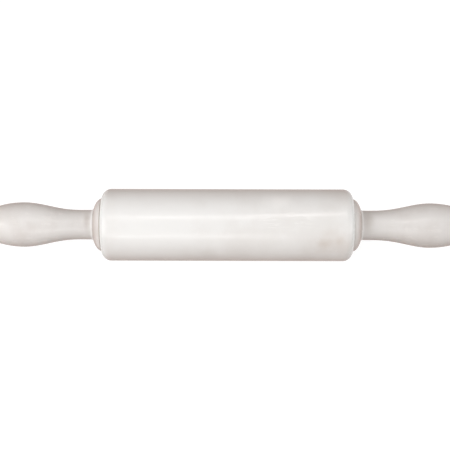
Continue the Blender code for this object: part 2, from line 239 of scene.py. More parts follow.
SMUDGE_AND_SHADE_SPOTS = (
    ((0.1100, -0.0349, 0.0088), (0.0070, 0.0070, 0.0060), 0.26),
    ((0.0955, -0.0356, 0.0055), (0.0110, 0.0085, 0.0070), 0.20),
    ((0.1060, -0.0357, 0.0050), (0.0300, 0.0200, 0.0200), 0.28),
)
PALE_PATCH_COLOUR = (0.950, 0.980, 0.988, 1)
PALE_PATCHES = (
    ((0.050, -0.0054, 0.0356), (0.022, 0.013, 0.013), 1.0),
)
# Scuffs whose whiter streaks are partly wear and partly painted glints in the lit band.
SCUFF_AND_GLINT_COLOUR = (0.960, 0.990, 0.995, 1)
SCUFF_AND_GLINT_SPOT = ((0.055, -0.0240, 0.0268), (0.040, 0.014, 0.014), 0.8)

tube_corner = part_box("barrel_tube")[1]
roller_radius = tube_corner.z
tube_end_x = tube_corner.x
half_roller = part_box("right_end_cap")[1].x
shoulder_x = half_roller - SHOULDER_RADIUS
shoulder_r = roller_radius - SHOULDER_RADIUS
tube_bore = roller_radius - ROLLER_WALL


def arc(centre_x, centre_r, along, across, start, end, steps):
    """Points (distance along, radius) on an ellipse. An angle of 0 is straight out from the axis."""
    angles = [start + (end - start) * i / steps for i in range(steps + 1)]
    return [(centre_x + along * math.sin(a), centre_r + across * math.cos(a)) for a in angles]


def turned(profile, steps, closed=True):
    """Spins an outline about the pin's axis into one closed mesh."""
    mesh = bmesh.new()
    corners = [mesh.verts.new((x, 0, r)) for x, r in profile]
    for first, second in zip(corners, corners[1:]):
        mesh.edges.new((first, second))
    if closed:
        mesh.edges.new((corners[-1], corners[0]))
    bmesh.ops.spin(
        mesh,
        geom=mesh.verts[:] + mesh.edges[:],
        cent=(0, 0, 0),
        axis=(1, 0, 0),
        dvec=(0, 0, 0),
        angle=math.tau,
        steps=steps,
        use_merge=True,
        use_duplicate=False,
    )
    bmesh.ops.remove_doubles(mesh, verts=mesh.verts[:], dist=SAME_PLACE)
    bmesh.ops.recalc_face_normals(mesh, faces=mesh.faces[:])
    return mesh


def round_corners(mesh, width, segments=2):
    """Rounds every edge where the surface turns sharply."""
    corners = [e for e in mesh.edges if e.calc_face_angle(0) > ROUNDED_CORNER]
    bmesh.ops.bevel(
        mesh,
        geom=corners,
        offset=width,
        offset_type="OFFSET",
        segments=segments,
        profile=0.5,
        affect="EDGES",
        clamp_overlap=True,
        material=-1,
    )


def to_end(side, mesh):
    """Leaves a mesh at the right-hand end, or turns it half round for the left-hand end."""
    if side == "left":
        half_turn = Matrix.Rotation(math.pi, 3, "Z")
        bmesh.ops.rotate(mesh, verts=mesh.verts[:], matrix=half_turn)
    return mesh


def place(name, mesh, material, body, stands_for):
    """Makes the mesh a smooth piece of the pin, which rides on a body and stands for a CAD node."""
    data = bpy.data.meshes.new(name)
    mesh.to_mesh(data)
    mesh.free()
    data.shade_smooth()
    data.set_sharp_from_angle(angle=SHADED_CORNER)
    data.materials.append(material)
    piece = bpy.data.objects.new(name, data)
    bpy.context.collection.objects.link(piece)
    even = piece.modifiers.new("even_normals", "WEIGHTED_NORMAL")
    even.keep_sharp = True
    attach(piece, body)
    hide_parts(stands_for)


def new_group(name, inputs, outputs):
    """A shader node group with the named sockets. Gives back the group, its input and its output."""
    group = bpy.data.node_groups.new(name, "ShaderNodeTree")
    for socket, kind in inputs:
        group.interface.new_socket(socket, in_out="INPUT", socket_type=kind)
    for socket, kind in outputs:
        group.interface.new_socket(socket, in_out="OUTPUT", socket_type=kind)
    return group, group.nodes.new("NodeGroupInput"), group.nodes.new("NodeGroupOutput")


def noise_on(tree, vector, scale=1.0, detail=3.0, roughness=0.5):
    """Adds a noise texture over the given coordinates and gives back its value."""
    values = {"Vector": vector, "Scale": scale, "Detail": detail, "Roughness": roughness}
    return node(tree, "ShaderNodeTexNoise", values).outputs["Fac"]


def ramp(tree, value, low, high, to_low=0.0, to_high=1.0):
    """Eases a value from one range into another."""
    values = {"Value": value, "From Min": low, "From Max": high, "To Min": to_low, "To Max": to_high}
    return node(tree, "ShaderNodeMapRange", values, interpolation_type="SMOOTHSTEP").outputs["Result"]


def stretched(tree, vector, along, across):
    """Coordinates that run at different speeds along the pin and across it."""
    spread = node(tree, "ShaderNodeCombineXYZ", {"X": along, "Y": across, "Z": across}).outputs[0]
    return node(tree, "ShaderNodeVectorMath", {0: vector, 1: spread}, operation="MULTIPLY").outputs[0]


def cloudy_plastic_group():
    """Faint clouds in the plastic's colour and gloss, with grime in the left-hand joint."""
    group, given, result = new_group(
        "cloudy_plastic",
        [
            ("Clean", "NodeSocketColor"),
            ("Cloudy", "NodeSocketColor"),
            ("Cloud Size", "NodeSocketFloat"),
            ("Smooth", "NodeSocketFloat"),
            ("Worn", "NodeSocketFloat"),
            ("Joint X", "NodeSocketFloat"),
            ("Grime", "NodeSocketColor"),
        ],
        [("Color", "NodeSocketColor"), ("Roughness", "NodeSocketFloat")],
    )
    on_pin = node(group, "ShaderNodeTexCoord").outputs["Object"]
    clouds = noise_on(group, on_pin, scale=given.outputs["Cloud Size"], detail=5.0, roughness=0.55)
    amount = ramp(group, clouds, low=0.40, high=0.72)
    tinted = blend_colours(group, amount, given.outputs["Clean"], given.outputs["Cloudy"])
    along = node(group, "ShaderNodeSeparateXYZ", {0: on_pin}).outputs["X"]
    from_joint = calculate(group, "SUBTRACT", along, given.outputs["Joint X"])
    from_joint = calculate(group, "ABSOLUTE", from_joint)
    near_joint = ramp(group, from_joint, low=GRIME_REACH, high=0.0, to_high=GRIME_STRENGTH)
    broken = noise_on(group, on_pin, scale=45.0, detail=1.0)
    broken = ramp(group, broken, low=0.35, high=0.65, to_low=0.4)
    grime = calculate(group, "MULTIPLY", near_joint, broken)
    dirty = blend_colours(group, grime, tinted, given.outputs["Grime"])
    rubbed = noise_on(group, on_pin, scale=95.0, detail=4.0, roughness=0.6)
    streaks = noise_on(group, stretched(group, on_pin, along=14.0, across=330.0), detail=2.0)
    wear = calculate(group, "ADD", rubbed, streaks)
    smooth = given.outputs["Smooth"]
    worn = given.outputs["Worn"]
    gloss = ramp(group, wear, low=0.70, high=1.35, to_low=smooth, to_high=worn)
    group.links.new(dirty, result.inputs["Color"])
    group.links.new(gloss, result.inputs["Roughness"])
    return group


def moulded_waves_group():
    """The height of the slow waves that thick plastic sinks into, with fine lines and a skin on top."""
    group, given, result = new_group(
        "moulded_waves",
        [
            ("Waves Along", "NodeSocketFloat"),
            ("Waves Round", "NodeSocketFloat"),
            ("Lines", "NodeSocketFloat"),
            ("Skin", "NodeSocketFloat"),
        ],
        [("Height", "NodeSocketFloat")],
    )
    on_pin = node(group, "ShaderNodeTexCoord").outputs["Object"]
    slow = stretched(group, on_pin, given.outputs["Waves Along"], given.outputs["Waves Round"])
    waves = noise_on(group, slow, detail=1.5, roughness=0.4)
    lines = noise_on(group, stretched(group, on_pin, along=12.0, across=420.0), detail=2.0)
    skin = noise_on(group, on_pin, scale=SKIN_GRAIN, detail=2.0)
    lined = calculate(group, "MULTIPLY_ADD", lines, given.outputs["Lines"], waves)
    height = calculate(group, "MULTIPLY_ADD", skin, given.outputs["Skin"], lined)
    group.links.new(height, result.inputs["Height"])
    return group


def soft_spot_group():
    """A ragged spot on the surface, which fades from its strength to nothing over its size."""
    group, given, result = new_group(
        "soft_spot",
        [
            ("Centre", "NodeSocketVector"),
            ("Size", "NodeSocketVector"),
            ("Strength", "NodeSocketFloat"),
        ],
        [("Amount", "NodeSocketFloat")],
    )
    on_pin = node(group, "ShaderNodeTexCoord").outputs["Object"]
    values = {"Vector": on_pin, "Location": given.outputs["Centre"], "Scale": given.outputs["Size"]}
    centred = node(group, "ShaderNodeMapping", values, vector_type="TEXTURE").outputs[0]
    reach = node(group, "ShaderNodeVectorMath", {0: centred}, operation="LENGTH").outputs["Value"]
    ragged = noise_on(group, on_pin, scale=90.0, detail=2.0)
    ragged = calculate(group, "MULTIPLY_ADD", ragged, SPOT_RAGGEDNESS, reach)
    amount = ramp(group, ragged, low=1.5, high=0.3, to_high=given.outputs["Strength"])
    group.links.new(amount, result.inputs["Amount"])
    return group


cloudy_plastic = cloudy_plastic_group()
moulded_waves = moulded_waves_group()
soft_spot = soft_spot_group()


def start_material(name):
    """A new material with its tree and its Principled shader."""
    material = bpy.data.materials.new(name)
    material.use_nodes = True
    return material, material.node_tree, material.node_tree.nodes["Principled BSDF"]


def white_plastic(name, clean, cloudy, cloud_size, roughness, waves, wave_height, joint_x):
    """Glossy white plastic under a thin clear skin, which takes more of the light at a shallow angle."""
    material, tree, shader = start_material(name)
    shader.inputs["Specular IOR Level"].default_value = PLASTIC_SPECULAR
    shader.inputs["Coat Weight"].default_value = 1.0
    shader.inputs["Coat Roughness"].default_value = roughness
    shader.inputs["Coat IOR"].default_value = SKIN_IOR
    shader.inputs["Coat Tint"].default_value = SKIN_TINT
    surface = node(
        tree,
        "ShaderNodeGroup",
        {
            "Clean": clean,
            "Cloudy": cloudy,
            "Cloud Size": cloud_size,
            "Smooth": roughness - PLASTIC_SMOOTHER,
            "Worn": roughness + PLASTIC_ROUGHER,
            "Joint X": joint_x,
            "Grime": GRIME_COLOUR,
        },
        node_tree=cloudy_plastic,
    )
    relief = node(tree, "ShaderNodeGroup", waves, node_tree=moulded_waves)
    tree.links.new(surface.outputs["Color"], shader.inputs["Base Color"])
    tree.links.new(surface.outputs["Roughness"], shader.inputs["Roughness"])
    bump = node(tree, "ShaderNodeBump", {"Height": relief.outputs["Height"], "Distance": wave_height})
    tree.links.new(bump.outputs["Normal"], shader.inputs["Normal"])
    return material, tree, shader, surface, bump


def lift_shade_with_thin_skin(tree, shader, corner_x, reach, share):
    """Thins the skin to a share near one distance from the pin's middle: painted light that lifts the shade
    there.
    """
    on_pin = node(tree, "ShaderNodeTexCoord").outputs["Object"]
    along = node(tree, "ShaderNodeSeparateXYZ", {0: on_pin}).outputs["X"]
    from_middle = calculate(tree, "ABSOLUTE", along)
    from_corner = calculate(tree, "SUBTRACT", from_middle, corner_x)
    from_corner = calculate(tree, "ABSOLUTE", from_corner)
    skin = ramp(tree, from_corner, low=0.0, high=reach, to_low=share)
    tree.links.new(skin, shader.inputs["Coat Weight"])


def spot_amount(tree, spot):
    """The mask of one soft spot, which is given as its centre, its size and its strength."""
    values = dict(zip(("Centre", "Size", "Strength"), spot))
    return node(tree, "ShaderNodeGroup", values, node_tree=soft_spot).outputs["Amount"]


def with_spots(tree, colour, spots, spot_colour):
    """Lays soft spots of one colour over another colour."""
    for spot in spots:
        colour = blend_colours(tree, spot_amount(tree, spot), colour, spot_colour)
    return colour


def roller_plastic():
    """The roller's plastic, with its die line, what use has left on it, and some painted glints and shade.
    """
    material, tree, shader, surface, bump = white_plastic(
        "roller_plastic",
        clean=ROLLER_COLOUR,
        cloudy=ROLLER_STAIN,
        cloud_size=16.0,
        roughness=ROLLER_ROUGHNESS,
        waves={"Waves Along": 9.0, "Waves Round": 55.0, "Lines": 0.08, "Skin": 0.01},
        wave_height=0.00020,
        joint_x=-half_roller,
    )
    # Painted light: a thinner skin lifts the shade on the shoulders.
    lift_shade_with_thin_skin(tree, shader, half_roller, SHOULDER_RADIUS, SHOULDER_LIGHTENING_SKIN)
    on_pin = node(tree, "ShaderNodeTexCoord").outputs["Object"]
    parts = node(tree, "ShaderNodeSeparateXYZ", {0: on_pin}).outputs
    across_line = calculate(tree, "MULTIPLY", parts["Y"], math.sin(DIE_LINE_ELEVATION))
    off_line = calculate(tree, "MULTIPLY_ADD", parts["Z"], math.cos(DIE_LINE_ELEVATION), across_line)
    wander = calculate(tree, "SUBTRACT", noise_on(tree, on_pin, scale=11.0, detail=2.0), NOISE_MIDDLE)
    off_line = calculate(tree, "MULTIPLY_ADD", wander, DIE_LINE_WANDER, off_line)
    off_line = calculate(tree, "ABSOLUTE", off_line)
    in_front = calculate(tree, "LESS_THAN", parts["Y"], 0.0)
    line = calculate(tree, "MULTIPLY", ramp(tree, off_line, low=DIE_LINE_WIDTH, high=0.0), in_front)
    groove = node(
        tree,
        "ShaderNodeBump",
        {"Height": line, "Distance": DIE_LINE_DEPTH, "Normal": bump.outputs["Normal"]},
        invert=True,
    )
    tree.links.new(groove.outputs["Normal"], shader.inputs["Normal"])

    colour = with_spots(tree, surface.outputs["Color"], PALE_PATCHES, PALE_PATCH_COLOUR)
    # Whiter scuff streaks: partly wear, partly painted glints.
    scratch_and_glint_streaks = noise_on(tree, stretched(tree, on_pin, along=70.0, across=600.0), detail=3.0)
    scratch_and_glint_streaks = ramp(tree, scratch_and_glint_streaks, low=0.50, high=0.70)
    scuffs_and_glints = calculate(tree, "MULTIPLY", spot_amount(tree, SCUFF_AND_GLINT_SPOT), scratch_and_glint_streaks)
    colour = blend_colours(tree, scuffs_and_glints, colour, SCUFF_AND_GLINT_COLOUR)
    # The brown smudge, and painted shade on the front of the right-hand end.
    colour = with_spots(tree, colour, SMUDGE_AND_SHADE_SPOTS, SMUDGE_AND_SHADE_COLOUR)
    tree.links.new(colour, shader.inputs["Base Color"])
    return material


tube_end_angle = math.asin((tube_end_x - shoulder_x) / SHOULDER_RADIUS)
shoulder = arc(
    shoulder_x, shoulder_r, SHOULDER_RADIUS, SHOULDER_RADIUS, 0, tube_end_angle, SHOULDER_STEPS
)
lead_in = [(tube_end_x, tube_bore + BORE_LEAD_IN), (tube_end_x - BORE_LEAD_IN, tube_bore)]
right_half = shoulder + lead_in
left_half = [(-x, r) for x, r in reversed(right_half)]
tube_mesh = turned(right_half + left_half, ROLLER_STEPS)
round_corners(tube_mesh, CUT_EDGE_ROUNDING)
place("roller_tube", tube_mesh, roller_plastic(), "roller", "barrel_tube")


# End caps
# One moulded cap is pressed into each end of the tube. Its rim carries the rounded shoulder on, with a
# fine joint line where it meets the tube. Inside it has a skirt, a hub for the bush, and ribs between them.
CAP_RIM_STEPS = 12
CAP_SKIRT_LENGTH = 0.018
CAP_SKIRT_WALL = 0.0025
CAP_HUB_WALL = 0.0030
CAP_HUB_LENGTH = 0.021
CAP_HUB_STEP = 0.0005
CAP_FACE_WALL = 0.0055
CAP_RIB_COUNT = 8
CAP_RIB_THICKNESS = 0.0024
CAP_TOLERANCE = 1e-5
CAP_ROUGHNESS = 0.19
JOINT_GAP = 0.0003
RIM_JOINT_GAP = {"right": 0.00003, "left": 0.00006}
BUSH_FLANGE_THICKNESS = 0.0020
BUSH_FLANGE_WIDTH = 0.0030

bush_flange_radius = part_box("right_bush")[1].z
bush_radius = bush_flange_radius - BUSH_FLANGE_WIDTH
skirt_radius = tube_bore - JOINT_GAP
skirt_end_x = half_roller - CAP_SKIRT_LENGTH
hub_bore = bush_radius + JOINT_GAP
hub_radius = hub_bore + CAP_HUB_WALL
pocket_inner = hub_radius + CAP_HUB_STEP
pocket_outer = skirt_radius - CAP_SKIRT_WALL


def cap_outline(rim_start_x):
    """The cap's section before its pockets are sunk: solid between the hub and the skirt."""
    rim_start = math.asin((rim_start_x - shoulder_x) / SHOULDER_RADIUS)
    rim = arc(
        shoulder_x, shoulder_r, SHOULDER_RADIUS, SHOULDER_RADIUS, rim_start, math.pi / 2, CAP_RIM_STEPS
    )
    seat_x = half_roller - BUSH_FLANGE_THICKNESS - JOINT_GAP
    return rim + [
        (half_roller, bush_flange_radius + JOINT_GAP),
        (seat_x, bush_flange_radius + JOINT_GAP),
        (seat_x, hub_bore),
        (half_roller - CAP_HUB_LENGTH, hub_bore),
        (half_roller - CAP_HUB_LENGTH, hub_radius),
        (skirt_end_x, hub_radius),
        (skirt_end_x, pocket_inner),
        (skirt_end_x, pocket_outer),
        (skirt_end_x, skirt_radius - BORE_LEAD_IN),
        (skirt_end_x + BORE_LEAD_IN, skirt_radius),
        (rim_start_x, skirt_radius),
    ]


def square_up_ribs(mesh):
    """Slides the back's corners round, so that the ribs between the pockets keep one thickness."""
    share = math.tau / CAP_RIB_COUNT
    steps = ROLLER_STEPS // CAP_RIB_COUNT
    for corner in mesh.verts:
        radius = math.hypot(corner.co.y, corner.co.z)
        on_pocket = min(abs(radius - pocket_inner), abs(radius - pocket_outer)) < CAP_TOLERANCE
        if not on_pocket or abs(corner.co.x - skirt_end_x) > SAME_PLACE:
            continue
        angle = math.atan2(corner.co.y, corner.co.z) % math.tau
        rib, step = divmod(round(angle / share * steps), steps)
        if step:
            half_rib = math.asin(CAP_RIB_THICKNESS / 2 / radius)
            angle = rib * share + half_rib + (share - 2 * half_rib) * (step - 1) / (steps - 2)
            corner.co.y = radius * math.sin(angle)
            corner.co.z = radius * math.cos(angle)


def sink_pockets(mesh):
    """Pushes the back in between the ribs, down to the cap's face."""
    half_rib = CAP_RIB_THICKNESS / 2 + CAP_TOLERANCE
    pockets = []
    for face in mesh.faces:
        middle = face.calc_center_median()
        radius = math.hypot(middle.y, middle.z)
        if abs(middle.x - skirt_end_x) > SAME_PLACE or not pocket_inner < radius < pocket_outer:
            continue
        angle = math.atan2(middle.y, middle.z) % (math.tau / CAP_RIB_COUNT)
        off_rib = radius * math.sin(min(angle, math.tau / CAP_RIB_COUNT - angle))
        if off_rib > half_rib:
            pockets.append(face)
    made = bmesh.ops.extrude_face_region(mesh, geom=pockets)
    floor = [v for v in made["geom"] if isinstance(v, bmesh.types.BMVert)]
    depth = CAP_SKIRT_LENGTH - CAP_FACE_WALL
    bmesh.ops.translate(mesh, verts=floor, vec=(depth, 0, 0))
    bmesh.ops.delete(mesh, geom=pockets, context="FACES")
    bmesh.ops.recalc_face_normals(mesh, faces=mesh.faces[:])


cap_plastic, tree, shader = white_plastic(
    "cap_plastic",
    clean=ROLLER_COLOUR,
    cloudy=ROLLER_STAIN,
    cloud_size=40.0,
    roughness=CAP_ROUGHNESS,
    waves={"Waves Along": 60.0, "Waves Round": 60.0, "Lines": 0.0, "Skin": 0.01},
    wave_height=0.00010,
    joint_x=-half_roller,
)[:3]
# Painted light: a thinner skin lifts the shade on the cap's shoulder.
lift_shade_with_thin_skin(tree, shader, half_roller, SHOULDER_RADIUS, SHOULDER_LIGHTENING_SKIN)

for side in ("right", "left"):
    cap_mesh = turned(cap_outline(tube_end_x + RIM_JOINT_GAP[side]), ROLLER_STEPS)
    square_up_ribs(cap_mesh)
    sink_pockets(cap_mesh)
    round_corners(cap_mesh, CUT_EDGE_ROUNDING)
    place(f"{side}_cap", to_end(side, cap_mesh), cap_plastic, "roller", f"{side}_end_cap")


# Bushes
# A flanged plain bearing of natural acetal is pressed into each cap's hub. The roller turns on the steel
# rod in these two bushes, which have chamfered ends and need no oil.
BUSH_LENGTH = 0.018
BUSH_WALL = 0.0027
BUSH_CHAMFER = 0.0005
BEARING_STEPS = 96
ACETAL_COLOUR = (0.86, 0.85, 0.81, 1)
ACETAL_RUBBED = (0.78, 0.77, 0.73, 1)
ACETAL_ROUGHNESS = 0.42
LATHE_SMOOTHER = 0.05
LATHE_ROUGHER = 0.08
LATHE_LINES = 5200.0
LATHE_LINE_DEPTH = 0.00001

bush_bore = bush_radius - BUSH_WALL


def machined_plastic(name, clean, rubbed, roughness):
    """Plain engineering plastic with the fine rings that a lathe leaves."""
    material, tree, shader = start_material(name)
    on_pin = node(tree, "ShaderNodeTexCoord").outputs["Object"]
    rub = ramp(tree, noise_on(tree, on_pin, scale=160.0, detail=4.0), low=0.4, high=0.7)
    rings = noise_on(tree, stretched(tree, on_pin, along=LATHE_LINES, across=12.0), detail=1.0)
    smooth = roughness - LATHE_SMOOTHER
    rough = roughness + LATHE_ROUGHER
    gloss = ramp(tree, rings, low=0.3, high=0.7, to_low=smooth, to_high=rough)
    bump = node(tree, "ShaderNodeBump", {"Height": rings, "Distance": LATHE_LINE_DEPTH})
    tree.links.new(blend_colours(tree, rub, clean, rubbed), shader.inputs["Base Color"])
    tree.links.new(gloss, shader.inputs["Roughness"])
    tree.links.new(bump.outputs["Normal"], shader.inputs["Normal"])
    return material


bush_outline = [
    (half_roller, bush_bore + BUSH_CHAMFER),
    (half_roller, bush_flange_radius - BUSH_CHAMFER),
    (half_roller - BUSH_CHAMFER, bush_flange_radius),
    (half_roller - BUSH_FLANGE_THICKNESS, bush_flange_radius),
    (half_roller - BUSH_FLANGE_THICKNESS, bush_radius),
    (half_roller - BUSH_LENGTH + BUSH_CHAMFER, bush_radius),
    (half_roller - BUSH_LENGTH, bush_radius - BUSH_CHAMFER),
    (half_roller - BUSH_LENGTH, bush_bore),
    (half_roller - BUSH_CHAMFER, bush_bore),
]
acetal = machined_plastic("bush_acetal", ACETAL_COLOUR, ACETAL_RUBBED, ACETAL_ROUGHNESS)
for side in ("right", "left"):
    bush_mesh = turned(bush_outline, BEARING_STEPS)
    round_corners(bush_mesh, CUT_EDGE_ROUNDING)
    place(f"{side}_bearing", to_end(side, bush_mesh), acetal, "roller", f"{side}_bush")


# Steel rod
# One bright drawn rod runs right through the roller. It is turned down at both ends, where the handles
# are clamped against its shoulders, and threaded from the washer outwards for the lock nut.
ROD_END_RADIUS = 0.0040
ROD_CHAMFER = 0.0008
THREAD_PITCH = 0.00125
THREAD_DEPTH = 0.00055
THREAD_RINGS = 10
STEEL_COLOUR = (0.60, 0.60, 0.61, 1)
STEEL_DULL = (0.46, 0.46, 0.47, 1)
STEEL_ROUGHNESS = 0.24
STEEL_SMOOTHER = 0.06
STEEL_ROUGHER = 0.12
FINE_LINE_DEPTH = 0.000006

rod_radius = bush_bore - JOINT_GAP
rod_end_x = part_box("axle_rod")[1].x
rod_shoulder_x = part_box("right_thrust_washer")[1].x
thread_start_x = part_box("right_flat_washer")[0].x
thread_end_x = rod_end_x - ROD_CHAMFER


def cut_thread(mesh, start_x, end_x, nominal):
    """Winds a vee thread into a cylinder of closely spaced rings, by moving each corner inwards."""
    for corner in mesh.verts:
        radius = math.hypot(corner.co.y, corner.co.z)
        if abs(radius - nominal) > SAME_PLACE or not start_x < corner.co.x < end_x:
            continue
        turn = math.atan2(corner.co.z, corner.co.y) / math.tau
        phase = (corner.co.x / THREAD_PITCH - turn) % 1
        run_out = min(corner.co.x - start_x, end_x - corner.co.x, THREAD_PITCH) / THREAD_PITCH
        vee = abs(phase * 2 - 1)
        scale = (radius - THREAD_DEPTH * vee * run_out) / radius
        corner.co.y *= scale
        corner.co.z *= scale


def threaded_length(start_x, end_x, radius):
    """Points along a cylinder, close enough together to take a thread."""
    count = round((end_x - start_x) / THREAD_PITCH * THREAD_RINGS)
    return [(start_x + (end_x - start_x) * i / count, radius) for i in range(count + 1)]


def bright_steel(name, clean, dull, roughness, along, across):
    """Bright metal with fine lines from drawing or turning, and a little dulling."""
    material, tree, shader = start_material(name)
    shader.inputs["Metallic"].default_value = 1.0
    on_pin = node(tree, "ShaderNodeTexCoord").outputs["Object"]
    lines = noise_on(tree, stretched(tree, on_pin, along, across))
    patches = noise_on(tree, on_pin, scale=70.0, detail=5.0, roughness=0.6)
    colour = blend_colours(tree, ramp(tree, patches, low=0.45, high=0.75), clean, dull)
    smooth = roughness - STEEL_SMOOTHER
    rough = roughness + STEEL_ROUGHER
    gloss = ramp(tree, lines, low=0.3, high=0.7, to_low=smooth, to_high=rough)
    bump = node(tree, "ShaderNodeBump", {"Height": lines, "Distance": FINE_LINE_DEPTH})
    tree.links.new(colour, shader.inputs["Base Color"])
    tree.links.new(gloss, shader.inputs["Roughness"])
    tree.links.new(bump.outputs["Normal"], shader.inputs["Normal"])
    return material


rod_right = (
    [
        (rod_shoulder_x - ROD_CHAMFER, rod_radius),
        (rod_shoulder_x, rod_radius - ROD_CHAMFER / 2),
        (rod_shoulder_x, ROD_END_RADIUS),
    ]
    + threaded_length(thread_start_x, thread_end_x, ROD_END_RADIUS)
    + [(rod_end_x, ROD_END_RADIUS - ROD_CHAMFER), (rod_end_x, 0)]
)
rod_left = [(-x, r) for x, r in reversed(rod_right)]
rod_mesh = turned(rod_left + rod_right, BEARING_STEPS, closed=False)
cut_thread(rod_mesh, thread_start_x, thread_end_x, ROD_END_RADIUS)
cut_thread(rod_mesh, -thread_end_x, -thread_start_x, ROD_END_RADIUS)
drawn_steel = bright_steel(
    "rod_steel", STEEL_COLOUR, STEEL_DULL, STEEL_ROUGHNESS, along=40.0, across=2600.0
)
place("steel_rod", rod_mesh, drawn_steel, "spindle", "axle_rod")


# Thrust washers
# A flat nylon washer sits between each cap and its handle, in a seat inside the handle's collar. It keeps
# the turning roller off the handle.
NYLON_COLOUR = (0.84, 0.82, 0.75, 1)
NYLON_RUBBED = (0.76, 0.74, 0.68, 1)
NYLON_ROUGHNESS = 0.46
WASHER_EDGE_ROUNDING = 0.0002

thrust_low, thrust_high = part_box("right_thrust_washer")


def ring_outline(start_x, end_x, bore, radius):
    """The section of a flat ring."""
    return [(start_x, bore), (end_x, bore), (end_x, radius), (start_x, radius)]


thrust_outline = ring_outline(thrust_low.x, thrust_high.x, rod_radius + JOINT_GAP, thrust_high.z)
nylon = machined_plastic("washer_nylon", NYLON_COLOUR, NYLON_RUBBED, NYLON_ROUGHNESS)
for side in ("right", "left"):
    spacer_mesh = turned(thrust_outline, BEARING_STEPS)
    round_corners(spacer_mesh, WASHER_EDGE_ROUNDING, segments=3)
    spacer_mesh = to_end(side, spacer_mesh)
    place(f"{side}_spacer", spacer_mesh, nylon, "spindle", f"{side}_thrust_washer")


# Handles
# Each handle is one thick moulding: a domed collar, a straight neck and a long swell, cored out from its
# outer end. The thick wall has sunk a little as it cooled, so the light on it breaks up softly.
COLLAR_DOME_DEPTH = 0.0104
COLLAR_FILLET = 0.0020
COLLAR_WALL = 0.0024
COLLAR_HUB_WALL = 0.0026
COLLAR_EDGE_ROUNDING = {"right": 0.0001, "left": 0.0004}
SEAM_CLOSED_UP = {"right": 0.00036, "left": 0.0001}
NECK_RADIUS = 0.0148
NECK_LENGTH = 0.0190
SWELL_RADIUS = 0.0223
SWELL_CENTRE = 0.0780
SWELL_DELAY = 1.2
HANDLE_LENGTH = 0.1240
CORE_RADIUS = 0.0120
CORE_CHAMFER = 0.0006
CORE_FLOOR = 0.0350
HANDLE_STEPS = 160
DOME_STEPS = 20
SWELL_STEPS = 40
SINK_SIZE = 0.020
SINK_DEPTH = 0.00012
SINK_START = 0.75
SINK_PLACES = {"right": Vector((3, 1, 4)), "left": Vector((2, 7, 1))}
HANDLE_COLOUR = (0.784, 0.794, 0.792, 1)
HANDLE_STAIN = (0.719, 0.715, 0.706, 1)
HANDLE_ROUGHNESS = 0.20
# Near the corner between collar and neck the skin thins: painted light that lifts the shade there.
CORNER_REACH = 0.0025
CORNER_LIGHTENING_SKIN = 0.45
# Brown painted shade on the upper front of each neck beside its collar, where the roller's end shades it.
NECK_PAINTED_SHADE_COLOUR = (0.32, 0.24, 0.19, 1)
NECK_PAINTED_SHADE_SPOTS = (
    ((0.1385, -0.0085, 0.0121), (0.0090, 0.0160, 0.0160), 0.30),
    ((-0.1390, -0.0085, 0.0121), (0.0045, 0.0110, 0.0110), 0.30),
)

handle_low, handle_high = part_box("right_handle")
collar_x = handle_low.x
collar_radius = handle_high.z
handle_open_x = handle_high.x
end_curve_length = HANDLE_LENGTH - SWELL_CENTRE
handle_seat_x = thrust_high.x + JOINT_GAP
seat_radius = thrust_high.z + JOINT_GAP
rod_hole = ROD_END_RADIUS + JOINT_GAP


def swell(distance):
    """The handle's radius from its neck to its widest place, by distance from the collar's face."""
    share = (distance - NECK_LENGTH) / (SWELL_CENTRE - NECK_LENGTH)
    rise = (1 - math.cos(math.pi * share**SWELL_DELAY)) / 2
    return NECK_RADIUS + (SWELL_RADIUS - NECK_RADIUS) * rise


def collar_dome(face_x):
    """The collar's dome, from its rim to the neck, with a last step that the fillet can fill."""
    depth = COLLAR_DOME_DEPTH + collar_x - face_x
    foot = math.acos(NECK_RADIUS / collar_radius)
    dome = arc(face_x, 0, depth, collar_radius, 0, foot, DOME_STEPS)
    return [(x, r) for x, r in dome if r > NECK_RADIUS + COLLAR_FILLET] + dome[-1:]


def handle_outline(face_x):
    """The handle's section: outside, then the core, the rod's hole, the washer's seat and the hollow."""
    swell_body = []
    for i in range(SWELL_STEPS):
        distance = NECK_LENGTH + (SWELL_CENTRE - NECK_LENGTH) * i / SWELL_STEPS
        swell_body.append((collar_x + distance, swell(distance)))
    end_angle = math.asin((handle_open_x - collar_x - SWELL_CENTRE) / end_curve_length)
    end = arc(collar_x + SWELL_CENTRE, 0, end_curve_length, SWELL_RADIUS, 0, end_angle, DOME_STEPS)
    hub = seat_radius + COLLAR_HUB_WALL
    inner_radius = collar_radius - COLLAR_WALL
    inner_depth = COLLAR_DOME_DEPTH - COLLAR_WALL
    hollow = arc(face_x, 0, inner_depth, inner_radius, math.acos(hub / inner_radius), 0, DOME_STEPS)
    core = [
        (handle_open_x, CORE_RADIUS + CORE_CHAMFER),
        (handle_open_x - CORE_CHAMFER, CORE_RADIUS),
        (collar_x + CORE_FLOOR, CORE_RADIUS),
        (collar_x + CORE_FLOOR, rod_hole),
    ]
    seat = [
        (handle_seat_x, rod_hole),
        (handle_seat_x, seat_radius),
        (face_x, seat_radius),
        (face_x, hub),
    ]
    return collar_dome(face_x) + swell_body + end + core + seat + hollow


def round_ring(mesh, place_in_section, width, segments):
    """Rounds one turned edge, given as its place in the section."""
    x, radius = place_in_section
    ring = []
    for edge in mesh.edges:
        ends = [(v.co.x, math.hypot(v.co.y, v.co.z)) for v in edge.verts]
        if all(abs(along - x) < SAME_PLACE and abs(out - radius) < SAME_PLACE for along, out in ends):
            ring.append(edge)
    bmesh.ops.bevel(
        mesh,
        geom=ring,
        offset=width,
        offset_type="OFFSET",
        segments=segments,
        profile=0.5,
        affect="EDGES",
        material=-1,
    )


